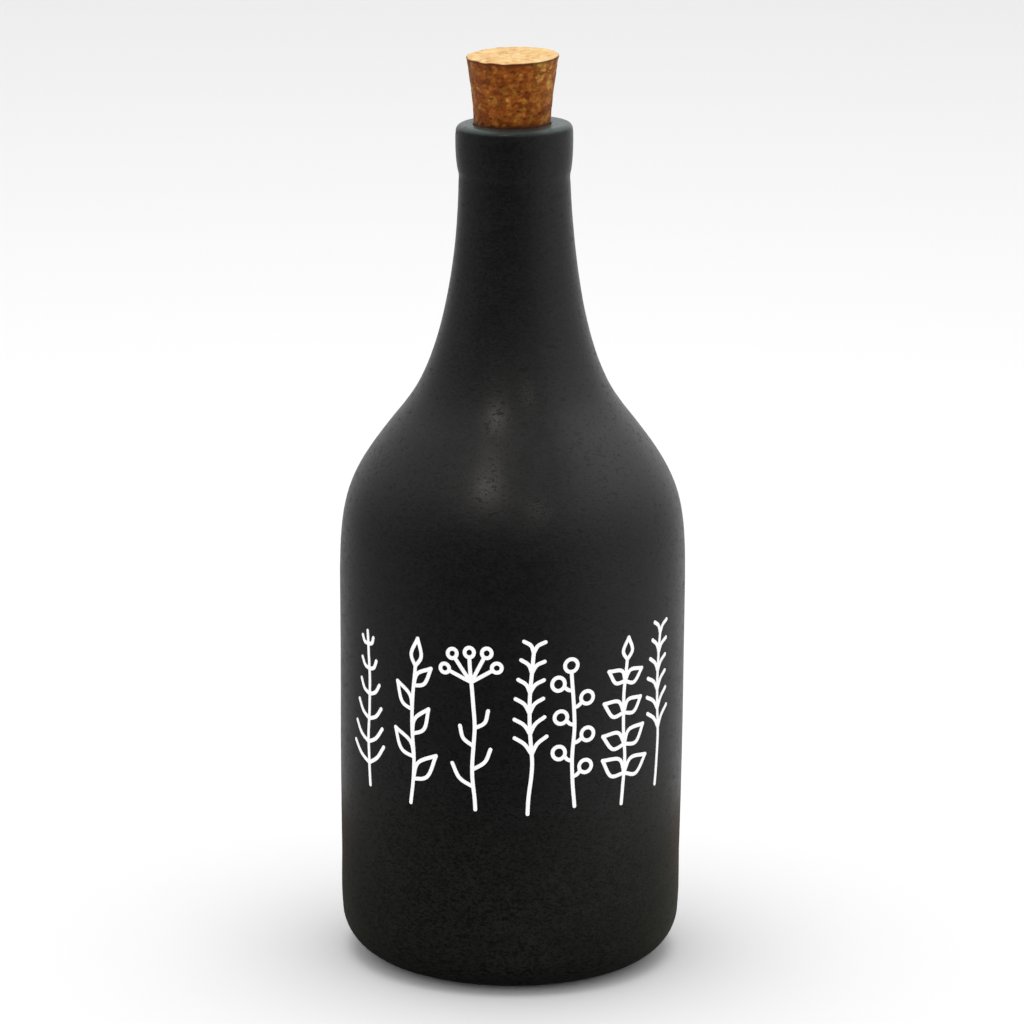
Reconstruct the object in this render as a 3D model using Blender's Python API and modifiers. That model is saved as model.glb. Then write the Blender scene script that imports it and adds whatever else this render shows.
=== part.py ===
"""A stoneware vinegar bottle closed by a tapered cork. Metres, +Z up, front towards -Y.

The origin is the centre of the flat ring that the bottle stands on, and +Z is the bottle's axis.
The bottle is opaque and shut, so it is one solid with a socket in its mouth that takes the cork.
The mouth was formed by hand and lies a little off the axis, and the cork with it.
"""
import math

import bmesh
import bpy
from mathutils import Vector

COLLECTION = "vinegar_bottle"

# Bottle, outside: radii and heights from the foot up
FOOT_RADIUS = 0.034
HEEL_ROUND = 0.0128
WALL_TOP_RADIUS = 0.0475
WALL_TOP_Z = 0.078
FLANK_RADIUS = 0.0299
FLANK_Z = 0.1557
FLANK_LEAN = math.radians(38.0)
COLLAR_FOOT_RADIUS = 0.0152
COLLAR_FOOT_Z = 0.2205
COLLAR_RADIUS = 0.016
COLLAR_WIDEST_Z = 0.2295
COLLAR_FLARE = math.radians(20.0)
LIP_RADIUS = 0.0159
LIP_ROUND = 0.0019
BOTTLE_HEIGHT = 0.2342

# How far each curve keeps its end's direction
SHOULDER_PULL_LOW = 0.053
SHOULDER_PULL_HIGH = 0.0328
NECK_PULL_LOW = 0.0218
NECK_PULL_HIGH = 0.008
COLLAR_PULL_LOW = 0.001
COLLAR_PULL_HIGH = 0.005

# Bottle, underside: a flat foot ring round a shallow dished base
RING_INNER_RADIUS = 0.0295
RING_INNER_ROUND = 0.0012
BASE_HOLLOW = 0.0018

# Cork: tapered, its top cut a little out of square
CORK_TOP_RADIUS = 0.0126
CORK_TOP_Z = 0.2529
CORK_TAPER = math.radians(7.0)
CORK_LENGTH = 0.030
CORK_TOP_SLOPE = math.radians(1.2)
CORK_EDGE = 0.0006

# Mouth: its place off the axis, the gap round the cork, and the round of its inner edge
MOUTH_X = -0.0006
CORK_GAP = 0.0003
MOUTH_ROUND = 0.0006
MOUTH_ROUND_END = math.radians(105)
CUTTER_RISE = 0.0005

# Fineness
BOTTLE_SEGMENTS = 64
CORK_SEGMENTS = 48
MERGE_DISTANCE = 0.00001

# Finish: linear colour and roughness
STONEWARE = ((0.0095, 0.0092, 0.0088, 1.0), 0.62)
CORK = ((0.42, 0.20, 0.075, 1.0), 0.85)


def bezier(start, pull_start, pull_end, end, steps):
    """Points along a cubic curve after its start, up to and with its end."""
    points = []
    for i in range(1, steps + 1):
        t = i / steps
        s = 1.0 - t
        points.append(start * s**3 + pull_start * (3 * s * s * t) + pull_end * (3 * s * t * t) + end * t**3)
    return points


def arc(centre, radius, first, last, steps):
    """Points along a round from angle first to angle last, both with their ends."""
    angles = [first + (last - first) * i / steps for i in range(steps + 1)]
    return [centre + Vector((math.cos(a), math.sin(a))) * radius for a in angles]


def outer_wall():
    """Half-section (radius, height) of the outside, from the edge of the foot up to the lip's flat top."""
    heel = arc(Vector((FOOT_RADIUS, HEEL_ROUND)), HEEL_ROUND, -math.pi / 2, 0.0, 8)
    wall_foot = heel[-1]
    wall_top = Vector((WALL_TOP_RADIUS, WALL_TOP_Z))
    third = (WALL_TOP_Z - HEEL_ROUND) / 3
    lean_out = Vector(((WALL_TOP_RADIUS - wall_foot.x) / 2, third))
    wall = bezier(wall_foot, wall_foot + lean_out, wall_top - Vector((0, third)), wall_top, 4)

    flank = Vector((FLANK_RADIUS, FLANK_Z))
    inward = Vector((-math.sin(FLANK_LEAN), math.cos(FLANK_LEAN)))
    shoulder_low = wall_top + Vector((0, SHOULDER_PULL_LOW))
    shoulder = bezier(wall_top, shoulder_low, flank - inward * SHOULDER_PULL_HIGH, flank, 14)

    collar_foot = Vector((COLLAR_FOOT_RADIUS, COLLAR_FOOT_Z))
    neck_high = collar_foot - Vector((0, NECK_PULL_HIGH))
    neck = bezier(flank, flank + inward * NECK_PULL_LOW, neck_high, collar_foot, 11)

    collar_top = Vector((COLLAR_RADIUS, COLLAR_WIDEST_Z))
    outward = Vector((math.sin(COLLAR_FLARE), math.cos(COLLAR_FLARE)))
    collar_high = collar_top - Vector((0, COLLAR_PULL_HIGH))
    collar = bezier(collar_foot, collar_foot + outward * COLLAR_PULL_LOW, collar_high, collar_top, 5)

    lip_centre = Vector((LIP_RADIUS - LIP_ROUND, BOTTLE_HEIGHT - LIP_ROUND))
    lip = arc(lip_centre, LIP_ROUND, 0.0, math.pi / 2, 5)
    third = (lip[0].y - COLLAR_WIDEST_Z) / 3
    rim_low = collar_top + Vector((0, third))
    rim = bezier(collar_top, rim_low, lip[0] - Vector((0, third)), lip[0], 2)
    return heel + wall + shoulder + neck + collar + rim + lip[1:]


def cork_radius(height):
    """Radius of the cork's cone at a height."""
    return CORK_TOP_RADIUS - (CORK_TOP_Z - height) * math.tan(CORK_TAPER)


def socket():
    """Half-section of what the mouth takes away, from above the lip down to the floor under the cork."""
    room = CORK_GAP / math.cos(CORK_TAPER)
    brim = BOTTLE_HEIGHT - MOUTH_ROUND * math.sin(MOUTH_ROUND_END)
    centre = Vector((cork_radius(brim) + room + MOUTH_ROUND, brim))
    rounding = arc(centre, MOUTH_ROUND, MOUTH_ROUND_END, math.pi, 3)
    run_out = CUTTER_RISE / math.tan(MOUTH_ROUND_END - math.pi / 2)
    top_edge = rounding[0] + Vector((run_out, CUTTER_RISE))
    floor = CORK_TOP_Z - CORK_LENGTH - CORK_GAP
    floor_edge = Vector((cork_radius(floor) + room, floor))
    return [Vector((0, top_edge.y)), top_edge] + rounding + [floor_edge, Vector((0, floor))]


def underside():
    """Half-section of the base, from the inner edge of the foot ring in to the axis."""
    turn_centre = Vector((RING_INNER_RADIUS, RING_INNER_ROUND))
    turn = arc(turn_centre, RING_INNER_ROUND, -math.pi / 2, -math.pi * 0.85, 3)
    start = turn[-1]
    middle = Vector((0, BASE_HOLLOW))
    return turn + bezier(start, start + Vector((-0.004, 0.0007)), Vector((0.012, BASE_HOLLOW)), middle, 4)


def finish(obj, colour, roughness):
    material = bpy.data.materials.new(obj.name)
    material.use_nodes = True
    shader = material.node_tree.nodes["Principled BSDF"]
    shader.inputs["Base Color"].default_value = colour
    shader.inputs["Roughness"].default_value = roughness
    shader.inputs["Metallic"].default_value = 0.0
    obj.data.materials.append(material)


def add_object(name, mesh, collection):
    obj = bpy.data.objects.new(name, mesh)
    collection.objects.link(obj)
    return obj


def turned(name, section, segments, collection):
    """A solid turned about +Z from a half-section whose outer side runs down, top to bottom."""
    mesh = bpy.data.meshes.new(name)
    edges = [(i, i + 1) for i in range(len(section) - 1)]
    mesh.from_pydata([(p.x, 0.0, p.y) for p in section], edges, [])
    obj = add_object(name, mesh, collection)
    screw = obj.modifiers.new("turn", "SCREW")
    screw.steps = segments
    screw.render_steps = segments
    screw.use_merge_vertices = True
    screw.merge_threshold = MERGE_DISTANCE
    screw.use_smooth_shade = True
    return obj


def make_bottle(collection, cutters):
    crown = [Vector((0, BOTTLE_HEIGHT))]
    bottle = turned("bottle", crown + outer_wall()[::-1] + underside(), BOTTLE_SEGMENTS, collection)
    mouth = turned("mouth_cutter", socket(), CORK_SEGMENTS, cutters)
    mouth.location.x = MOUTH_X
    mouth.hide_render = True
    mouth.display_type = "WIRE"
    cut = bottle.modifiers.new("mouth", "BOOLEAN")
    cut.operation = "DIFFERENCE"
    cut.object = mouth
    finish(bottle, *STONEWARE)


def make_cork(collection):
    """A cone whose top face is tilted about the front-to-back axis, with its edges eased."""
    shape = bmesh.new()
    bmesh.ops.create_cone(
        shape,
        cap_ends=True,
        segments=CORK_SEGMENTS,
        radius1=cork_radius(CORK_TOP_Z - CORK_LENGTH),
        radius2=CORK_TOP_RADIUS,
        depth=CORK_LENGTH,
    )
    for vert in shape.verts:
        if vert.co.z > 0:
            vert.co.z += vert.co.x * math.tan(CORK_TOP_SLOPE)
    mesh = bpy.data.meshes.new("cork")
    shape.to_mesh(mesh)
    shape.free()
    mesh.shade_smooth()
    mesh.set_sharp_from_angle(angle=math.radians(40))
    cork = add_object("cork", mesh, collection)
    cork.location = (MOUTH_X, 0, CORK_TOP_Z - CORK_LENGTH / 2)
    edge = cork.modifiers.new("eased_edges", "BEVEL")
    edge.width = CORK_EDGE
    edge.segments = 3
    edge.limit_method = "ANGLE"
    edge.angle_limit = math.radians(40)
    finish(cork, *CORK)


def main():
    for obj in list(bpy.data.objects):
        bpy.data.objects.remove(obj, do_unlink=True)
    collection = bpy.data.collections.new(COLLECTION)
    cutters = bpy.data.collections.new("cutters")
    bpy.context.scene.collection.children.link(collection)
    bpy.context.scene.collection.children.link(cutters)
    make_bottle(collection, cutters)
    make_cork(collection)


main()
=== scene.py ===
"""The looks of a shut stoneware vinegar bottle with a tapered cork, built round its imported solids.

Metres, +Z up, the bottle's foot on z = 0 and its printed front towards -Y.
"""

import math
import random

import bmesh
import bpy
import numpy as np
from mathutils import Matrix, Vector, noise
from mathutils.geometry import delaunay_2d_cdt
from mathutils.kdtree import KDTree


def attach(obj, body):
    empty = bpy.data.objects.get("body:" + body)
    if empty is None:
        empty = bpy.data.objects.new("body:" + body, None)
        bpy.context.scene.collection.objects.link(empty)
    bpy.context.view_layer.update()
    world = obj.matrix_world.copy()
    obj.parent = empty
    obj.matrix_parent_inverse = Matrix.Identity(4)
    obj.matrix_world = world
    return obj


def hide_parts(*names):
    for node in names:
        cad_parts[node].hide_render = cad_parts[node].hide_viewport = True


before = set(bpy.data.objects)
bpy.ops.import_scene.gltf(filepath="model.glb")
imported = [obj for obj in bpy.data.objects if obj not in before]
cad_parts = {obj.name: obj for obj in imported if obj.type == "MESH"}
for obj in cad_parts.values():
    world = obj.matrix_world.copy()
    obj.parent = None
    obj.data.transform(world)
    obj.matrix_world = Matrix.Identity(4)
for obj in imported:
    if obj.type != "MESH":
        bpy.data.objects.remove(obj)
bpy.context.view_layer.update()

# Camera: where the photographer stood, as a square frame with its focal length in pixels
PICTURE = 1024
CAMERA_PLACE = (-0.0003, -1.650, 0.5648)
CAMERA_DOWN = math.radians(14.921)
CAMERA_ROLL = math.radians(0.400)
CAMERA_FOCAL = 6203.0
SENSOR = 36.0

# Bottle, on the CAD bottle's own outline
BOTTLE_SEGMENTS = 320
ROW_SPACING = 0.0012
UNDERSIDE_EDGE = 0.0335
UNDERSIDE_HEIGHT = 0.005
LIP_FLAT_EDGE = 0.0135
RING_INNER_RADIUS = 0.0295
RING_INNER_ROUND = 0.0012
BASE_HOLLOW = 0.0018
MOUTH_ROUND = 0.0006

# How the hand-made bottle departs from a true turned shape
SWELL = 0.00012
SWELL_HEIGHT = 0.05
MARK = 0.00002
MARK_PITCH = 0.0035
LEAN = -0.00039
LEAN_FROM = 0.195
LEAN_TO = 0.232
LIP_TILT_LEFT = math.radians(1.2)
LIP_TILT_BACK = math.radians(2.5)
LIP_TILT_FROM = 0.220
LIP_SLOPE_X = -math.tan(LIP_TILT_LEFT)
LIP_SLOPE_Y = math.tan(LIP_TILT_BACK)

# Cork
CORK_TOP_RADIUS = 0.0126
CORK_TOP_Z = 0.2529
CORK_TAPER = math.radians(7.0)
CORK_LENGTH = 0.030
CORK_TOP_SLOPE = math.radians(1.2)
CORK_EDGE = 0.0005
CORK_GAP = 0.0003
MOUTH_X = -0.0006
CORK_SEGMENTS = 300
CORK_ROW = 0.00022
GRANULE = 0.0017
GRANULE_STEP = 0.00006
GROOVE_WIDTH = 0.00016
GROOVE_DEPTH = 0.00007
PIT_COUNT = 110
PIT_DEPTH = 0.00040
PIT_FLAT = 1.9
RIM_WOBBLE = 0.00012
RIM_WEAR = 0.00045
CORK_WAIST = 0.00025
# How far above the lip the painted shade on the cork's foot reaches
CORK_FOOT_SHADE = 0.0014

# Print
PRINT_RADIUS = 0.0475
PRINT_WIDTH = 0.00106
PRINT_RISE = 0.00010
PRINT_SINK = 0.00006
INK_STEP = 0.0001

# Light: levels are radiances, 1 being the white of the picture
ROOM_LIGHT = 1.0
ROOM_SIDES = 0.35
OVERHEAD_POWER = 14.0
FLOOR_SHADE = 0.67

# What the stoneware reflects: walls that fade out towards the camera, a brighter ceiling, and a dark mat for the
# table round the foot, with a painted shadow close to it
WALLS = 0.37
WALLS_RIGHT = 0.12
BACK_GAIN = 0.85
CEILING = 0.78
CEILING_RIGHT = 0.25
CEILING_LEFT = -0.28
CEILING_BACK = 0.32
SHADE_PLACE = (22.0, 55.0)
SHADE = 0.26
WINDOW_PLACE = (102.0, 48.0)
WINDOW = 0.18
MAT = 0.132
MAT_RIGHT = 0.033
MAT_RADIUS = 0.17
MAT_EDGE = 0.02
MAT_OLIVE = (1.02, 1.02, 0.86)
MAT_BROWN = (1.36, 1.06, 0.80)
MAT_FRONT = 0.72
LAMP_DISTANCE = 1.2
LAMP_COLOUR = (1.0, 0.94, 0.82)


def smoothstep(low, high, value):
    t = min(max((value - low) / (high - low), 0.0), 1.0)
    return t * t * (3 - 2 * t)


def wander(point):
    """A smooth shift that differs from place to place and is the same in every run."""
    return Vector([noise.noise(point + Vector((k, 0, 0))) for k in (0.0, 31.7, 67.3)])


def lean(z):
    """How far the neck stands to the left of the body's axis."""
    return LEAN * smoothstep(LEAN_FROM, LEAN_TO, z)


def lip_drop(x, y, z):
    """How much lower a place on the hand-formed lip lies: it sinks at the back and to the left."""
    return smoothstep(LIP_TILT_FROM, LIP_Z, z) * (LIP_SLOPE_Y * y + LIP_SLOPE_X * x)


# Bottle

def cad_wall():
    """Half-section (radius, height) of the CAD bottle's outside, foot to lip, where its mesh crosses +X."""
    wall = {}
    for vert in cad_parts["bottle"].data.vertices:
        x, y, z = vert.co
        inner = UNDERSIDE_EDGE if z < UNDERSIDE_HEIGHT else LIP_FLAT_EDGE
        if abs(y) < 1e-6 and x > inner:
            key = round(z, 6)
            wall[key] = max(wall.get(key, 0.0), x)
    return [Vector((radius, z)) for z, radius in sorted(wall.items())]


def smooth_through(points, spacing):
    """A Catmull-Rom curve through the points, with steps of about the spacing and at least two a stretch."""
    ends = [points[0] * 2 - points[1]] + points + [points[-1] * 2 - points[-2]]
    curve = [points[0]]
    for before, start, end, after in zip(ends, ends[1:], ends[2:], ends[3:]):
        d0, d1, d2 = (start - before).length, (end - start).length, (after - end).length
        tangent_start = ((start - before) / d0 * d1 + (end - start) / d1 * d0) / (d0 + d1) * d1
        tangent_end = ((end - start) / d1 * d2 + (after - end) / d2 * d1) / (d1 + d2) * d1
        steps = max(2, math.ceil(d1 / spacing))
        for i in range(1, steps + 1):
            t = i / steps
            a = 2 * t**3 - 3 * t**2 + 1
            b = t**3 - 2 * t**2 + t
            c = -2 * t**3 + 3 * t**2
            d = t**3 - t**2
            curve.append(start * a + tangent_start * b + end * c + tangent_end * d)
    return curve


def arc(centre, radius, first, last, steps):
    """Points along a round from angle first to angle last, both with their ends."""
    angles = [first + (last - first) * i / steps for i in range(steps + 1)]
    return [centre + Vector((math.cos(a), math.sin(a))) * radius for a in angles]


def cork_radius(z):
    """Radius of the cork's cone, or of the socket round it, at a height."""
    return CORK_TOP_RADIUS - (CORK_TOP_Z - z) * math.tan(CORK_TAPER)


def cork_waist(z):
    """How far the cork's side is drawn in between the lip and its top."""
    share = min(max((z - LIP_Z) / (CORK_TOP_Z - LIP_Z), 0.0), 1.0)
    return CORK_WAIST * math.sin(math.pi * share)


WALL = smooth_through(cad_wall(), ROW_SPACING)
WALL_HEIGHTS = [p.y for p in WALL]
WALL_RADII = [p.x for p in WALL]
LIP_Z = WALL[-1].y


def unevenness(angle, z):
    """How far the wall stands out from the turned shape: slow swells and faint turning marks."""
    x, y = math.cos(angle), math.sin(angle)
    swell = noise.noise(Vector((x * 1.3, y * 1.3, z / SWELL_HEIGHT)))
    mark = noise.noise(Vector((x * 0.7 + 9, y * 0.7, z / MARK_PITCH)))
    fade = smoothstep(0.001, 0.012, z) * (1 - smoothstep(0.85, 1.0, z / LIP_Z))
    return fade * (SWELL * swell + MARK * mark)


def wall_point(angle, z, rise=0.0):
    """A point on the bottle's outer wall, or that far outside it."""
    radius = float(np.interp(z, WALL_HEIGHTS, WALL_RADII)) + unevenness(angle, z) + rise
    return Vector((radius * math.cos(angle) + lean(z), radius * math.sin(angle), z))


def mouth_rows():
    """(radius, height, x of the ring's centre) from the socket's floor up and out to the flat of the lip."""
    room = CORK_GAP / math.cos(CORK_TAPER)
    floor = CORK_TOP_Z - CORK_LENGTH - CORK_GAP
    brim = LIP_Z - MOUTH_ROUND
    edge = Vector((cork_radius(floor) + room, floor))
    top = Vector((cork_radius(brim) + room, brim))
    bore = [edge.lerp(top, t) for t in np.linspace(0, 1, 8)]
    rounding = arc(top + Vector((MOUTH_ROUND, 0)), MOUTH_ROUND, math.pi, math.pi / 2, 6)[1:]
    rows = [(p.x, p.y, MOUTH_X) for p in bore + rounding]
    inner, outer = rounding[-1].x, WALL[-1].x
    for t in (0.33, 0.67):
        rows.append((inner + (outer - inner) * t, LIP_Z, MOUTH_X * (1 - t)))
    return rows


def underside_rows():
    """The foot ring's flat, the turn at its inner edge and the shallow hollow, out to in."""
    foot = WALL[0].x
    rows = [(foot + (RING_INNER_RADIUS - foot) * t, 0.0, 0.0) for t in (0.25, 0.5, 0.75)]
    turn = arc(Vector((RING_INNER_RADIUS, RING_INNER_ROUND)), RING_INNER_ROUND, -math.pi / 2, -math.pi * 0.85, 4)
    start = turn[-1]
    for i in range(1, 20):
        t = i / 20
        height = start.y + (BASE_HOLLOW - start.y) * math.sin(t * math.pi / 2)
        turn.append(Vector((start.x * (1 - t), height)))
    return rows + [(p.x, p.y, 0.0) for p in turn]


def ring_mesh(name, rings, first_tip, last_tip):
    """A closed mesh from rings of equal count, first to last, with a point at each end."""
    count = len(rings[0])
    verts = [first_tip] + [p for ring in rings for p in ring] + [last_tip]
    faces = [(0, 1 + j, 1 + (j + 1) % count) for j in range(count)]
    for i in range(len(rings) - 1):
        low = 1 + i * count
        high = low + count
        faces += [(low + j, high + j, high + (j + 1) % count, low + (j + 1) % count) for j in range(count)]
    last = 1 + (len(rings) - 1) * count
    faces += [(last + j, len(verts) - 1, last + (j + 1) % count) for j in range(count)]
    mesh = bpy.data.meshes.new(name)
    mesh.from_pydata(verts, [], faces)
    mesh.update()
    return mesh


def outward(mesh):
    """Turns the faces to point out."""
    shape = bmesh.new()
    shape.from_mesh(mesh)
    bmesh.ops.recalc_face_normals(shape, faces=shape.faces)
    shape.to_mesh(mesh)
    shape.free()


def show(name, mesh, material):
    mesh.materials.append(material)
    obj = place(name, mesh)
    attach(obj, "root")
    return obj


def upper_point(radius, angle, z, x=0.0):
    """A point of the bottle with the neck's lean and the lip's tilt, on a ring centred on x."""
    across, along = radius * math.cos(angle), radius * math.sin(angle)
    return (x + lean(z) + across, along, z - lip_drop(across, along, z))


def make_bottle():
    angles = [2 * math.pi * j / BOTTLE_SEGMENTS for j in range(BOTTLE_SEGMENTS)]
    rings = []
    for radius, z, x in mouth_rows():
        rings.append([upper_point(radius, a, z, x) for a in angles])
    for point in reversed(WALL):
        radii = [point.x + unevenness(a, point.y) for a in angles]
        rings.append([upper_point(r, a, point.y) for r, a in zip(radii, angles)])
    for radius, z, x in underside_rows():
        rings.append([(x + radius * math.cos(a), radius * math.sin(a), z) for a in angles])
    floor = mouth_rows()[0][1]
    mesh = ring_mesh("stoneware_bottle", rings, (MOUTH_X + lean(floor), 0, floor), (0, 0, BASE_HOLLOW))
    outward(mesh)
    mesh.shade_smooth()
    mesh.set_sharp_from_angle(angle=math.radians(50))
    bottle = show("stoneware_bottle", mesh, stoneware_material())
    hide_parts("bottle")


# Cork

def cork_rows():
    """(radius, height) from the middle of the bottom round the side to the middle of the top, with the top level."""
    bottom = CORK_TOP_Z - CORK_LENGTH
    low_corner = Vector((cork_radius(bottom), bottom))
    rows = [Vector((low_corner.x * t, bottom)) for t in np.linspace(0.1, 0.9, 9)]
    rows += arc(low_corner + Vector((-CORK_EDGE, CORK_EDGE)), CORK_EDGE, -math.pi / 2, 0, 3)
    brim = LIP_Z - 0.002
    hidden = np.linspace(bottom + 2 * CORK_EDGE, brim, 8)
    shown = np.arange(brim + CORK_ROW, CORK_TOP_Z - CORK_EDGE * 1.2, CORK_ROW)
    rows += [Vector((cork_radius(z) - cork_waist(z), z)) for z in [*hidden, *shown]]
    top_corner = Vector((CORK_TOP_RADIUS, CORK_TOP_Z))
    rows += arc(top_corner + Vector((-CORK_EDGE, -CORK_EDGE)), CORK_EDGE, 0, math.pi / 2, 6)
    inner = CORK_TOP_RADIUS - CORK_EDGE
    rows += [Vector((inner * t, CORK_TOP_Z)) for t in np.linspace(1, 0, 45)[1:-1]]
    return rows


def random_sites(draw, count, low, high):
    """Points strewn in a box."""
    return [Vector([draw.uniform(a, b) for a, b in zip(low, high)]) for _ in range(count)]


def kd_tree(points):
    tree = KDTree(len(points))
    for i, point in enumerate(points):
        tree.insert(point, i)
    tree.balance()
    return tree


def make_cork():
    draw = random.Random(11)
    reach = CORK_TOP_RADIUS + 0.002
    low = Vector((-reach, -reach, CORK_TOP_Z - CORK_LENGTH - 0.002))
    high = Vector((reach, reach, CORK_TOP_Z + 0.002))
    size = high - low
    granules = random_sites(draw, int(size.x * size.y * size.z / GRANULE**3), low, high)
    tones = [draw.random() for _ in granules]
    lifts = [draw.uniform(-1, 1) for _ in granules]
    tree = kd_tree(granules)

    pits = []
    for _ in range(PIT_COUNT):
        z = draw.uniform(LIP_Z - 0.001, CORK_TOP_Z)
        angle = draw.uniform(0, 2 * math.pi)
        radius = cork_radius(z) - cork_waist(z)
        place = Vector((radius * math.cos(angle), radius * math.sin(angle), z))
        pits.append((place, draw.uniform(0.0003, 0.0009), draw.uniform(0.35, 1)))
    for _ in range(PIT_COUNT // 6):
        angle, radius = draw.uniform(0, 2 * math.pi), CORK_TOP_RADIUS * math.sqrt(draw.random())
        place = Vector((radius * math.cos(angle), radius * math.sin(angle), CORK_TOP_Z))
        pits.append((place, draw.uniform(0.0002, 0.0005), draw.uniform(0.2, 0.5)))
    pit_tree = kd_tree([p[0] for p in pits])

    rows = cork_rows()
    bottom = CORK_TOP_Z - CORK_LENGTH
    angles = [2 * math.pi * j / CORK_SEGMENTS for j in range(CORK_SEGMENTS)]
    marks = dict(tone=[0.5], groove=[0.0], pit=[0.0], top=[0.0], painted_rim_shade=[0.0], foot=[1.0])
    rings = []
    for i, row in enumerate(rows):
        before, after = rows[max(i - 1, 0)], rows[min(i + 1, len(rows) - 1)]
        ahead = (after - before).normalized()
        out = Vector((ahead.y, -ahead.x))
        shown = smoothstep(LIP_Z - 0.002, LIP_Z, row.y)
        on_top = smoothstep(CORK_TOP_Z - CORK_EDGE * 0.5, CORK_TOP_Z - CORK_EDGE * 0.1, row.y)
        # Painted shade: a thin dark band just under the top's rounded edge, where the edge turns away from the light
        under_rim_shade = smoothstep(CORK_TOP_Z - 0.0012, CORK_TOP_Z - CORK_EDGE, row.y) * (1 - on_top)
        at_rim = smoothstep(CORK_TOP_Z - 0.0015, CORK_TOP_Z, row.y) * smoothstep(0.80, 0.96, row.x / CORK_TOP_RADIUS)
        ring = []
        for a in angles:
            c, s = math.cos(a), math.sin(a)
            p = Vector((row.x * c, row.x * s, row.y))
            q = p + wander(p / 0.0016) * 0.00055 + wander(p / 0.0005) * 0.00022
            (_, nearest, d0), (_, _, d1) = tree.find_n(q, 2)
            edge = max(0.0, 1 - (d1 - d0) / GROOVE_WIDTH)
            depth = 0.0
            for _, k, _ in pit_tree.find_range(p, 0.0015):
                pit, across, strength = pits[k]
                away = p - pit
                ragged = across * (1 + 0.6 * noise.noise(p / 0.0004 + Vector((k, 0, 0))))
                d = Vector((away.x, away.y, away.z * PIT_FLAT)).length
                depth = max(depth, strength * (1 - smoothstep(ragged * 0.3, ragged, d)))
            push = GRANULE_STEP * lifts[nearest] - GROOVE_DEPTH * edge - PIT_DEPTH * depth
            push *= shown * (1 - 0.5 * on_top)
            wobble = RIM_WOBBLE * noise.noise(Vector((c * 2.5, s * 2.5, row.y / 0.004))) * shown
            radius, z = row.x * (1 + wobble / CORK_TOP_RADIUS) + out.x * push, row.y + out.y * push
            worn = RIM_WEAR * (0.5 - 0.5 * c) * (0.5 + noise.noise(Vector((c * 3, s * 3, 4)))) * at_rim
            radius, z = radius - worn * 0.4, z - worn
            share = max(0.0, (z - bottom) / CORK_LENGTH)
            z += share * radius * c * math.tan(CORK_TOP_SLOPE)
            # Painted shade: the cork is darkened for a little over a millimetre above the lip, where the lip shades
            # it
            above_lip = row.y - LIP_Z + lip_drop(radius * c, radius * s, LIP_Z)
            foot = 1 - smoothstep(-0.0002, CORK_FOOT_SHADE, above_lip)
            ring.append((MOUTH_X + lean(row.y) + radius * c, radius * s, z))
            for name, value in zip(marks, (tones[nearest], edge, depth, on_top, under_rim_shade, foot)):
                marks[name].append(value)
        rings.append(ring)
    shift = MOUTH_X + lean(LIP_Z)
    mesh = ring_mesh("cork_stopper", rings, (shift, 0, bottom), (shift, 0, CORK_TOP_Z))
    for name, value in zip(marks, (0.5, 0.0, 0.0, 1.0, 0.0, 0.0)):
        marks[name].append(value)
        values = np.array(marks[name], np.float32)
        mesh.attributes.new(name, "FLOAT", "POINT").data.foreach_set("value", values)
    outward(mesh)
    mesh.shade_smooth()
    cork = show("cork_stopper", mesh, cork_material())
    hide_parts("cork")


# Print: a row of herb sprigs, drawn flat as (distance round the body, height) and laid on the wall

def curve_points(points, steps=10):
    """A Catmull-Rom curve through flat points."""
    ends = [points[0] * 2 - points[1]] + points + [points[-1] * 2 - points[-2]]
    curve = [points[0]]
    for p0, p1, p2, p3 in zip(ends, ends[1:], ends[2:], ends[3:]):
        for i in range(1, steps + 1):
            t = i / steps
            linear = (p2 - p0) * t
            square = (p0 * 2 - p1 * 5 + p2 * 4 - p3) * t**2
            cube = (p1 * 3 - p0 - p2 * 3 + p3) * t**3
            curve.append((p1 * 2 + linear + square + cube) / 2)
    return curve


def stroke(points, width=PRINT_WIDTH):
    """The outline of a line with round ends."""
    half = width / 2
    left, right = [], []
    for i, p in enumerate(points):
        ahead = (points[min(i + 1, len(points) - 1)] - points[max(i - 1, 0)]).normalized()
        side = Vector((-ahead.y, ahead.x)) * half
        left.append(p + side)
        right.append(p - side)
    start = (points[0] - points[1]).normalized()
    end = (points[-1] - points[-2]).normalized()
    turns = [math.pi * k / 8 for k in range(1, 8)]

    def cap(centre, ahead):
        side = Vector((ahead.y, -ahead.x))
        return [centre + (side * math.cos(a) + ahead * math.sin(a)) * half for a in turns]

    return right + cap(points[-1], end) + left[::-1] + cap(points[0], start)


def along(path, share):
    """The point and the direction at a share of a path's points."""
    i = min(int(share * (len(path) - 1)), len(path) - 2)
    t = share * (len(path) - 1) - i
    return path[i].lerp(path[i + 1], t), (path[i + 1] - path[i]).normalized()


def swung(direction, degrees):
    a = math.radians(degrees)
    c, s = math.cos(a), math.sin(a)
    return Vector((direction.x * c - direction.y * s, direction.x * s + direction.y * c))


def stem(x, low, high, sway):
    shape = ((0, 0), (0.7, 0.3), (0.25, 0.65), (1.0, 1))
    return curve_points([Vector((x + sway * k, low + (high - low) * t)) for k, t in shape], 12)


def leaf(base, direction, length, breadth, curl=0.0):
    """An open almond outline, with its tip bent aside by curl."""
    side = swung(direction, 90)
    tip = base + direction * length + side * curl
    belly = base + direction * length * 0.42 + side * curl * 0.3
    one = curve_points([base, belly + side * breadth / 2, tip], 8)
    two = curve_points([base, belly - side * breadth / 2, tip], 8)
    return [one, two]


def blade(base, direction, length, bend=0.0):
    """A short curved line."""
    middle = base + direction * length * 0.5 + swung(direction, 90) * bend
    return [curve_points([base, middle, base + direction * length], 6)]


def ring(centre, radius, start):
    """A circle in two halves, begun at a direction."""
    return [[centre + swung(start, first + 15 * k) * radius for k in range(13)] for first in (0, 180)]


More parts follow.
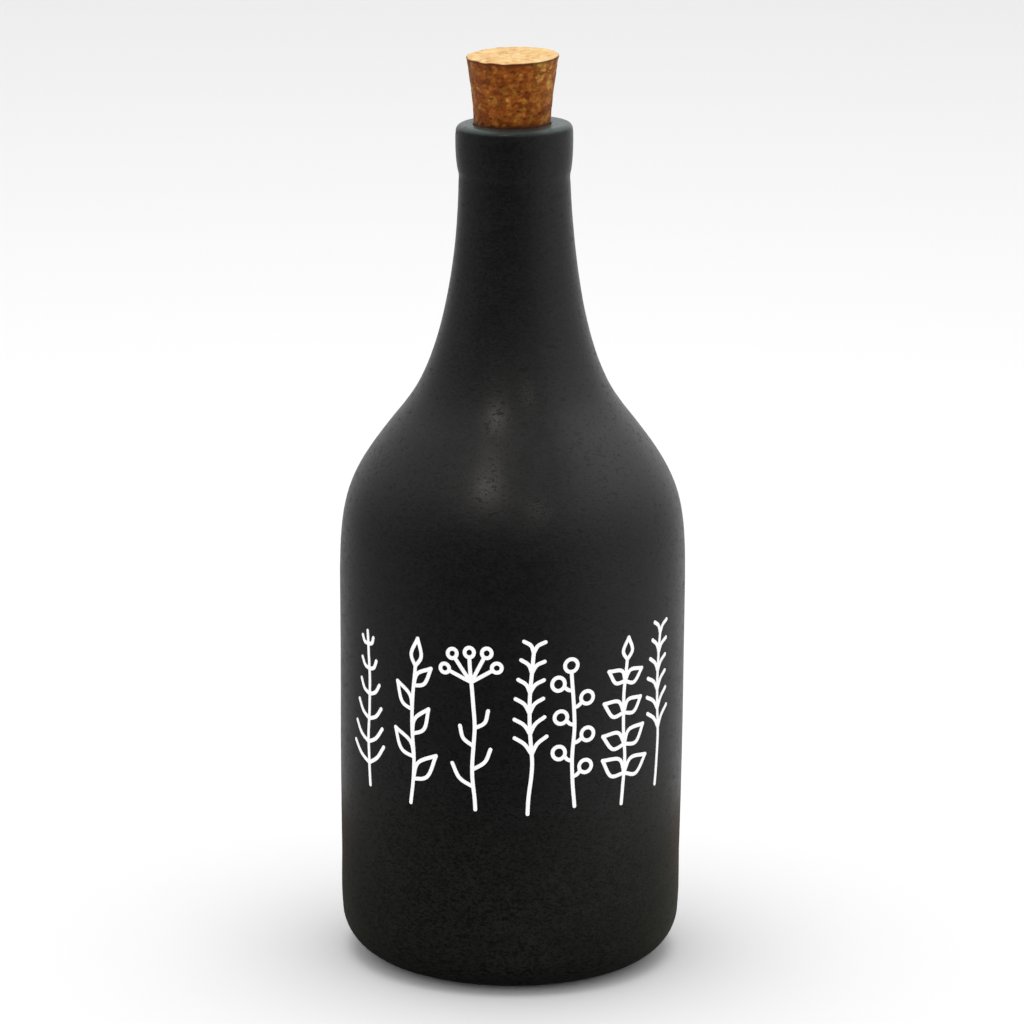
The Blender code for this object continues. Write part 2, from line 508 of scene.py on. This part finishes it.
def leafy_sprig(x, low, high, sway, leaves, length):
    """Open leaves one after the other, left and right."""
    path = stem(x, low, high, sway)
    lines = [path]
    for k in range(leaves):
        side = 1 if k % 2 else -1
        base, ahead = along(path, 0.20 + 0.66 * k / (leaves - 1))
        size = length * (1 - 0.3 * k / leaves)
        lines += leaf(base, swung(ahead, side * 43), size, size * 0.42, side * -0.0008)
    base, ahead = along(path, 1.0)
    return lines + leaf(base, ahead, length * 0.75, length * 0.3)


def paired_sprig(x, low, high, sway, pairs, length):
    """Open round leaves in pairs."""
    path = stem(x, low, high, sway)
    lines = [path]
    for k in range(pairs):
        base, ahead = along(path, 0.24 + 0.62 * k / (pairs - 1))
        size = length * (1 - 0.32 * k / pairs)
        for side in (1, -1):
            lines += leaf(base, swung(ahead, side * 62), size, size * 0.58)
    base, ahead = along(path, 1.0)
    return lines + leaf(base, ahead, length * 0.7, length * 0.38)


def seed_sprig(x, low, high, sway, pairs, length):
    """Short curved lines in pairs, close together towards the tip."""
    path = stem(x, low, high, sway)
    lines = [path]
    for k in range(pairs):
        base, ahead = along(path, 0.40 + 0.58 * k / (pairs - 1))
        size = length * (1 - 0.4 * k / pairs)
        for side in (1, -1):
            lines += blade(base, swung(ahead, side * 43), size, side * -0.0007)
    return lines


def fern_sprig(x, low, high, sway, pairs, length):
    """Long curved lines in pairs that shorten towards the tip."""
    path = stem(x, low, high, sway)
    lines = [path]
    for k in range(pairs):
        base, ahead = along(path, 0.16 + 0.76 * k / (pairs - 1))
        size = length * (1 - 0.75 * k / pairs)
        for side in (1, -1):
            lines += blade(base, swung(ahead, side * 52), size, side * 0.0008)
    return lines


def berry_sprig(x, low, high, sway, count, radius):
    """Open berries on stalks, left and right."""
    path = stem(x, low, high, sway)
    lines = [path]
    for k in range(count):
        side = 1 if k % 2 else -1
        base, ahead = along(path, 0.25 + 0.62 * k / (count - 1))
        direction = swung(ahead, side * 58)
        lines += blade(base, direction, 0.0028, side * 0.0003)
        lines += ring(base + direction * (0.0028 + radius), radius, -direction)
    tip, ahead = along(path, 1.0)
    return lines + ring(tip + ahead * radius, radius, -ahead)


def umbel_sprig(x, low, high, sway, rays, reach):
    """A flower head of open florets on rays, over thin curved leaves."""
    floret = 0.0013
    path = stem(x, low, high, sway)
    lines = [path]
    top, ahead = along(path, 1.0)
    for k in range(rays):
        direction = swung(ahead, -62 + 124 * k / (rays - 1))
        far = reach * (1.0 if k % 2 else 0.86)
        lines += blade(top, direction, far)
        lines += ring(top + direction * (far + floret), floret, -direction)
    for share, side in ((0.20, 1), (0.34, -1), (0.52, 1), (0.66, -1)):
        base, ahead = along(path, share)
        lines += blade(base, swung(ahead, side * 38), 0.0095 - 0.005 * share, side * 0.0012)
    return lines


def herb_row():
    """All lines of the print, each as flat points."""
    lines = []
    lines += fern_sprig(-0.0450, 0.0550, 0.0985, -0.0012, 6, 0.0088)
    lines += leafy_sprig(-0.0292, 0.0535, 0.0925, 0.0016, 5, 0.0105)
    lines += umbel_sprig(-0.0098, 0.0540, 0.0900, -0.0012, 5, 0.0080)
    lines += seed_sprig(0.0045, 0.0530, 0.0995, 0.0014, 6, 0.0064)
    lines += berry_sprig(0.0176, 0.0545, 0.0925, -0.0012, 6, 0.0018)
    lines += paired_sprig(0.0325, 0.0530, 0.0935, 0.0014, 4, 0.0088)
    lines += seed_sprig(0.0462, 0.0555, 0.0990, 0.0018, 6, 0.0070)
    return [[drawn(p) for p in line] for line in lines]


def drawn(point):
    """The point moved a little, as by an unsteady hand."""
    return point + wander(point.to_3d() / 0.009).to_2d() * 0.00028


def ink_tree(lines):
    """A tree of points close together along the lines."""
    points = []
    for line in lines:
        for start, end in zip(line, line[1:]):
            steps = math.ceil((end - start).length / INK_STEP)
            points += [start.lerp(end, i / steps).to_3d() for i in range(steps + 1)]
    return kd_tree(points)


def make_print():
    """The strokes joined into one layer: of all triangles between their outlines, those near a line."""
    lines = herb_row()
    verts, faces = [], []
    for line in lines:
        outline = stroke(line)
        faces.append(list(range(len(verts), len(verts) + len(outline))))
        verts += outline
    flat, _, tris, *_ = delaunay_2d_cdt([v * 1000 for v in verts], [], faces, 0, 1e-4)
    ink = ink_tree(lines)
    shape = bmesh.new()
    tops = [shape.verts.new((v.x / 1000, v.y / 1000, 0)) for v in flat]
    for tri in tris:
        corners = [tops[i] for i in tri]
        middle = sum((v.co for v in corners), Vector()) / 3
        if ink.find(middle)[2] < PRINT_WIDTH / 2 + INK_STEP / 20:
            shape.faces.new(corners)
    bmesh.ops.delete(shape, geom=[v for v in shape.verts if not v.link_faces], context="VERTS")
    lower = bmesh.ops.extrude_face_region(shape, geom=shape.faces[:])["geom"]
    for vert in (g for g in lower if isinstance(g, bmesh.types.BMVert)):
        vert.co.z = 1
    for vert in shape.verts:
        u, z, under = vert.co
        rise = PRINT_RISE if under < 0.5 else -PRINT_SINK
        vert.co = wall_point(u / PRINT_RADIUS - math.pi / 2, z, rise)
    bmesh.ops.recalc_face_normals(shape, faces=shape.faces)
    mesh = bpy.data.meshes.new("herb_print")
    shape.to_mesh(mesh)
    shape.free()
    mesh.shade_smooth()
    mesh.set_sharp_from_angle(angle=math.radians(40))
    show("herb_print", mesh, print_material())


# Materials

class Nodes:
    """A short way to add and join shader nodes."""

    def __init__(self, tree):
        self.tree = tree

    def add(self, kind, settings=(), **inputs):
        node = self.tree.nodes.new("ShaderNode" + kind)
        for key, value in dict(settings).items():
            setattr(node, key, value)
        for key, value in inputs.items():
            self.put(node.inputs[key.replace("_", " ")], value)
        return node

    def put(self, socket, value):
        if isinstance(value, bpy.types.NodeSocket):
            self.tree.links.new(value, socket)
        else:
            socket.default_value = value

    def ramp(self, value, *stops):
        node = self.add("ValToRGB", Fac=value)
        elements = node.color_ramp.elements
        while len(elements) < len(stops):
            elements.new(0.5)
        for element, (place, colour) in zip(elements, stops):
            element.position = place
            element.color = colour if len(colour) == 4 else (*colour, 1)
        return node.outputs["Color"]

    def mix(self, share, a, b, blend="MIX"):
        node = self.add("Mix", dict(data_type="RGBA", blend_type=blend))
        self.put(node.inputs[0], share)
        self.put(node.inputs[6], a)
        self.put(node.inputs[7], b)
        return node.outputs[2]

    def math(self, operation, *values):
        node = self.add("Math", dict(operation=operation))
        for socket, value in zip(node.inputs, values):
            self.put(socket, value)
        return node.outputs[0]

    def rise(self, value, first, last, low, high):
        """From low to high as the value goes from first to last, eased at both ends."""
        sockets = dict(Value=value, From_Min=first, From_Max=last, To_Min=low, To_Max=high)
        return self.add("MapRange", dict(interpolation_type="SMOOTHSTEP"), **sockets).outputs["Result"]

    def noise(self, size, flat=1.0, detail=3.0, roughness=0.5):
        """Noise with features of a size in metres, flattened in height."""
        where = self.add("TexCoord").outputs["Object"]
        scale = (1 / size, 1 / size, flat / size)
        place = self.add("Mapping", Vector=where, Scale=scale).outputs["Vector"]
        return self.add("TexNoise", Vector=place, Scale=1.0, Detail=detail, Roughness=roughness).outputs["Fac"]

    def attribute(self, name):
        return self.add("Attribute", dict(attribute_name=name)).outputs["Fac"]

    def bump(self, height, distance, strength=1.0, normal=None):
        node = self.add("Bump", Height=height, Distance=distance, Strength=strength)
        if normal is not None:
            self.put(node.inputs["Normal"], normal)
        return node.outputs["Normal"]


def new_material(name):
    """A material, its nodes and its shader's sockets."""
    material = bpy.data.materials.new(name)
    material.use_nodes = True
    shader = material.node_tree.nodes["Principled BSDF"]
    return material, Nodes(material.node_tree), shader.inputs


def grey(value):
    return (value, value, value, 1)


def stoneware_material():
    material, n, shader = new_material("black_stoneware")
    axes = n.add("SeparateXYZ", Vector=n.add("TexCoord").outputs["Object"]).outputs
    height = axes["Z"]
    low_down = n.rise(height, 0.025, 0.075, 1.0, 0.0)
    cloud = n.noise(0.014, flat=1.3, detail=2.0)
    mottle = n.noise(0.0040, flat=1.4, detail=2.0)
    grain = n.noise(0.0011, flat=1.6, detail=2.0, roughness=0.6)
    speck = n.noise(0.0013, flat=1.8, detail=1.0)
    fleck = n.noise(0.0021, flat=1.9, detail=2.0, roughness=0.6)
    smooth = n.math(
        "MULTIPLY",
        n.rise(n.math("MULTIPLY_ADD", low_down, 0.030, speck), 0.62, 0.68, 1.0, 0.1),
        n.rise(n.math("MULTIPLY_ADD", mottle, 0.16, n.math("MULTIPLY_ADD", low_down, 0.020, fleck)), 0.695, 0.745, 1.0, 0.0),
    )
    body = n.ramp(cloud, (0.30, (0.0037, 0.0037, 0.0037)), (0.70, (0.0047, 0.0047, 0.0047)))
    body = n.mix(1.0, body, n.rise(mottle, 0.32, 0.62, 0.80, 1.08), "MULTIPLY")
    body = n.mix(1.0, body, n.rise(grain, 0.30, 0.60, 0.35, 1.20), "MULTIPLY")
    body = n.mix(1.0, body, n.mix(low_down, grey(1), (1.55, 1.55, 1.36, 1)), "MULTIPLY")
    body = n.mix(smooth, (0.0002, 0.0002, 0.0002, 1), body)
    tilted = n.math("MULTIPLY_ADD", axes["Y"], LIP_SLOPE_Y, n.math("MULTIPLY_ADD", axes["X"], LIP_SLOPE_X, height))
    lip = n.rise(tilted, LIP_Z - 0.0016, LIP_Z - 0.0003, 0.0, 1.0)
    lip_tint_and_shade = n.mix(mottle, (0.022, 0.036, 0.034, 1), (0.042, 0.060, 0.060, 1))
    # Painted shade: the lip's tint is darker at its front and back, next to the cork, than at its sides
    lip_tint_and_shade = n.mix(1.0, lip_tint_and_shade, n.rise(n.math("ABSOLUTE", axes["X"]), 0.003, 0.010, 0.40, 1.10), "MULTIPLY")
    body = n.mix(lip, body, lip_tint_and_shade)
    n.put(shader["Base Color"], body)
    pitted = n.math("SUBTRACT", 1.0, smooth)
    uneven = n.math("MULTIPLY_ADD", fleck, 0.08, n.math("MULTIPLY_ADD", mottle, 0.13, 0.225))
    n.put(shader["Roughness"], n.math("MULTIPLY_ADD", pitted, n.rise(height, 0.085, 0.12, 0.08, 0.12), uneven))
    fine = n.noise(0.0007, flat=1.4, detail=2.0)
    normal = n.bump(fine, 0.000016, 0.4)
    n.put(shader["Normal"], n.bump(smooth, 0.00003, 0.4, normal))
    shader["IOR"].default_value = 1.5
    return material


def cork_material():
    material, n, shader = new_material("granulated_cork")
    fine = n.noise(0.0006, detail=3.0)
    streak = n.noise(0.0016, flat=2.0, detail=2.0)
    patch = n.noise(0.0040, flat=1.4, detail=2.0)
    hue = n.noise(0.0022, detail=2.0)
    axes = n.add("SeparateXYZ", Vector=n.add("TexCoord").outputs["Object"]).outputs
    # Painted light: the cork's colour is lighter towards its right front and darker round the other side, standing
    # in for light falling from that side
    painted_light_side = n.math("MULTIPLY_ADD", axes["X"], 0.85, n.math("MULTIPLY", axes["Y"], -0.50))
    tone = n.math("MULTIPLY_ADD", n.attribute("tone"), 0.28, n.rise(painted_light_side, 0.0080, 0.0125, -0.33, -0.04))
    tone = n.math("MULTIPLY_ADD", fine, 0.24, tone)
    tone = n.math("MULTIPLY_ADD", streak, 0.54, tone)
    tone = n.math("MULTIPLY_ADD", patch, 0.62, tone)
    side = n.ramp(
        tone,
        (0.22, (0.098, 0.0170, 0.0012)),
        (0.40, (0.150, 0.0310, 0.0022)),
        (0.55, (0.212, 0.0520, 0.0048)),
        (0.70, (0.300, 0.0960, 0.0130)),
        (0.86, (0.440, 0.2050, 0.0480)),
    )
    olive = n.mix(1.0, side, (0.88, 1.22, 1.10, 1), "MULTIPLY")
    side = n.mix(n.rise(hue, 0.42, 0.66, 0.0, 0.9), side, olive)
    end = n.ramp(
        tone,
        (0.28, (0.42, 0.210, 0.070)),
        (0.48, (0.54, 0.350, 0.136)),
        (0.70, (0.58, 0.440, 0.210)),
    )
    end = n.mix(n.rise(hue, 0.50, 0.68, 0.0, 0.70), end, (0.55, 0.300, 0.170, 1))
    colour = n.mix(n.attribute("top"), side, end)
    colour = n.mix(n.math("MULTIPLY", n.attribute("groove"), 0.20), colour, (0.075, 0.014, 0.003, 1))
    # Painted shade just under the top's rounded edge
    colour = n.mix(n.math("MULTIPLY", n.attribute("painted_rim_shade"), 0.70), colour, (0.050, 0.010, 0.006, 1))
    # Painted shade at the cork's foot, just above the lip
    colour = n.mix(n.math("MULTIPLY", n.attribute("foot"), 0.75), colour, (0.030, 0.009, 0.006, 1))
    colour = n.mix(n.math("MULTIPLY", n.attribute("pit"), 0.75), colour, (0.045, 0.010, 0.007, 1))
    n.put(shader["Base Color"], colour)
    n.put(shader["Normal"], n.bump(fine, 0.00005, 0.5))
    n.put(shader["Roughness"], n.ramp(fine, (0, grey(0.80)), (1, grey(0.98))))
    shader["Specular IOR Level"].default_value = 0.10
    shader["Sheen Weight"].default_value = 0.12
    shader["Sheen Roughness"].default_value = 0.5
    shader["Sheen Tint"].default_value = (1.0, 0.80, 0.62, 1.0)
    return material


def print_material():
    material, n, shader = new_material("white_print")
    ink = n.noise(0.0012, detail=2.0)
    n.put(shader["Base Color"], n.ramp(ink, (0.2, grey(0.91)), (0.7, grey(0.96))))
    n.put(shader["Roughness"], n.ramp(ink, (0.2, grey(0.45)), (0.8, grey(0.6))))
    n.put(shader["Normal"], n.bump(ink, 0.00001, 0.4))
    return material


# Stage

def place(name, data):
    obj = bpy.data.objects.new(name, data)
    bpy.context.scene.collection.objects.link(obj)
    return obj


def make_floor():
    mesh = bpy.data.meshes.new("floor")
    shape = bmesh.new()
    bmesh.ops.create_circle(shape, cap_ends=True, segments=96, radius=8.0)
    shape.to_mesh(mesh)
    shape.free()
    material, n, shader = new_material("pale_floor")
    n.put(shader["Base Color"], grey(FLOOR_SHADE))
    n.put(shader["Roughness"], 1.0)
    mesh.materials.append(material)
    floor = place("floor", mesh)
    floor.visible_glossy = False


def heading(azimuth, elevation):
    """A direction, counted from the camera's side to the right and up, in degrees."""
    a, e = math.radians(azimuth), math.radians(elevation)
    return Vector((math.sin(a) * math.cos(e), -math.cos(a) * math.cos(e), math.sin(e)))


def towards(n, place):
    """How near a reflection comes to a place in the surroundings: the cosine of the angle between them."""
    seen = n.add("TexCoord").outputs["Generated"]
    node = n.add("VectorMath", dict(operation="DOT_PRODUCT"))
    n.put(node.inputs[0], seen)
    n.put(node.inputs[1], heading(*place))
    return node.outputs["Value"]


def make_world():
    """A pale room for matt surfaces. Reflections see walls that fade out in front and a bright ceiling."""
    world = bpy.data.worlds.new("studio")
    bpy.context.scene.world = world
    world.use_nodes = True
    world.node_tree.nodes.clear()
    n = Nodes(world.node_tree)
    axes = n.add("SeparateXYZ", Vector=n.add("TexCoord").outputs["Generated"]).outputs
    x, y, z = axes["X"], axes["Y"], axes["Z"]
    sides = n.math("MULTIPLY_ADD", n.math("MULTIPLY", x, x), ROOM_SIDES, ROOM_LIGHT)
    room = n.add("Background", Color=n.mix(1.0, grey(1), sides, "MULTIPLY"), Strength=1.0)

    wall = n.math("MULTIPLY_ADD", x, WALLS_RIGHT, WALLS)
    front = n.rise(n.math("MULTIPLY_ADD", x, 0.18, y), -1.42, -0.06, 0.0, 1.0)
    back = n.math("MULTIPLY_ADD", n.rise(y, 0.59, 1.10, 0.0, 1.0), BACK_GAIN, 1.0)
    wall = n.math("MULTIPLY", n.math("MULTIPLY", wall, front), back)
    ceiling = n.math("ADD", n.rise(x, 0.41, 0.61, 0.0, CEILING_RIGHT), CEILING)
    ceiling = n.math("ADD", n.rise(x, -1.0, 0.0, CEILING_LEFT, 0.0), ceiling)
    ceiling = n.math("MULTIPLY_ADD", y, CEILING_BACK, ceiling)
    upper = n.add("MapRange", Value=n.math("MULTIPLY_ADD", y, 0.10, z), From_Min=-0.05, From_Max=0.67)
    colour = n.mix(n.math("POWER", upper.outputs["Result"], 1.32), wall, ceiling)
    shade = n.rise(towards(n, SHADE_PLACE), 0.80, 0.97, 1.0, 1.0 - SHADE)
    window = n.rise(towards(n, WINDOW_PLACE), 0.88, 0.99, 0.0, WINDOW)
    colour = n.mix(1.0, n.mix(1.0, colour, shade, "MULTIPLY"), window, "ADD")
    seen = n.add("Background", Color=colour, Strength=1.0)
    mixer = n.add("MixShader", Fac=n.add("LightPath").outputs["Is Glossy Ray"])
    n.put(mixer.inputs[1], room.outputs[0])
    n.put(mixer.inputs[2], seen.outputs[0])
    n.put(n.add("OutputWorld").inputs["Surface"], mixer.outputs[0])


def reflected_lamp(name, azimuth, elevation, size, radiance):
    """A round lamp seen only in reflections."""
    away = heading(azimuth, elevation)
    light = bpy.data.lights.new(name, "AREA")
    light.shape = "DISK"
    light.size = size
    light.energy = radiance * math.pi * math.pi * (size / 2) ** 2
    light.color = LAMP_COLOUR
    light.cycles.use_multiple_importance_sampling = False
    lamp = place(name, light)
    lamp.location = Vector((0, 0, 0.15)) + away * LAMP_DISTANCE
    lamp.rotation_euler = away.to_track_quat("Z", "Y").to_euler()
    lamp.visible_camera = False
    lamp.visible_diffuse = False


def make_lights():
    reflected_lamp("front_left_lamp", -24.5, 48.0, 0.15, 11.5)
    reflected_lamp("front_right_lamp", 18.5, 35.5, 0.08, 11.5)
    light = bpy.data.lights.new("overhead", "AREA")
    light.size = 1.2
    light.energy = OVERHEAD_POWER
    over = place("overhead", light)
    over.location = (0.0, 0.1, 1.5)
    over.visible_glossy = False
    over.visible_camera = False


def make_mat():
    """A dark round mat under the foot, seen only in reflections, with a soft edge and a brown back; close to the
    foot it is darker, a painted shadow of the bottle.
    """
    mesh = bpy.data.meshes.new("dark_mat")
    shape = bmesh.new()
    bmesh.ops.create_circle(shape, cap_ends=True, segments=96, radius=MAT_RADIUS)
    shape.to_mesh(mesh)
    shape.free()
    mat = place("dark_mat", mesh)
    mat.location.z = -0.0005
    material = bpy.data.materials.new("mat_shade")
    material.use_nodes = True
    material.node_tree.nodes.clear()
    n = Nodes(material.node_tree)
    where = n.add("TexCoord").outputs["Object"]
    axes = n.add("SeparateXYZ", Vector=where).outputs
    reach = n.add("VectorMath", dict(operation="LENGTH"), Vector=where).outputs["Value"]
    level = n.rise(axes["X"], -0.07, 0.07, MAT - MAT_RIGHT, MAT + MAT_RIGHT)
    # Painted shadow: the mat is darker close to the foot, where the bottle shades the table
    level = n.math("MULTIPLY", level, n.rise(reach, 0.035, 0.060, 0.15, 1.0))
    tint = n.mix(n.rise(n.math("ABSOLUTE", axes["X"]), 0.02, 0.05, 0.0, 1.0), grey(1), (*MAT_OLIVE, 1))
    level = n.math("MULTIPLY", level, n.rise(axes["Y"], -0.06, 0.02, MAT_FRONT, 1.0))
    tint = n.mix(n.rise(axes["Y"], 0.03, 0.09, 0.0, 1.0), tint, (*MAT_BROWN, 1))
    shade = n.add("Emission", Color=n.mix(1.0, tint, level, "MULTIPLY"), Strength=1.0)
    mixer = n.add("MixShader", Fac=n.rise(reach, MAT_RADIUS - MAT_EDGE, MAT_RADIUS, 0.0, 1.0))
    n.put(mixer.inputs[1], shade.outputs[0])
    n.put(mixer.inputs[2], n.add("BsdfTransparent").outputs[0])
    n.put(n.add("OutputMaterial").inputs["Surface"], mixer.outputs[0])
    mesh.materials.append(material)
    mat.visible_camera = False
    mat.visible_diffuse = False
    mat.visible_transmission = False
    mat.visible_shadow = False


def make_camera():
    data = bpy.data.cameras.new("camera")
    data.sensor_width = SENSOR
    data.lens = CAMERA_FOCAL * SENSOR / PICTURE
    data.clip_end = 50
    camera = place("camera", data)
    aim = Matrix.Rotation(math.pi / 2 - CAMERA_DOWN, 4, "X") @ Matrix.Rotation(CAMERA_ROLL, 4, "Z")
    camera.matrix_world = Matrix.Translation(CAMERA_PLACE) @ aim
    bpy.context.scene.camera = camera


make_camera()
make_bottle()
make_cork()
make_print()
make_floor()
make_world()
make_lights()
make_mat()
bpy.context.scene.view_settings.view_transform = "Standard"
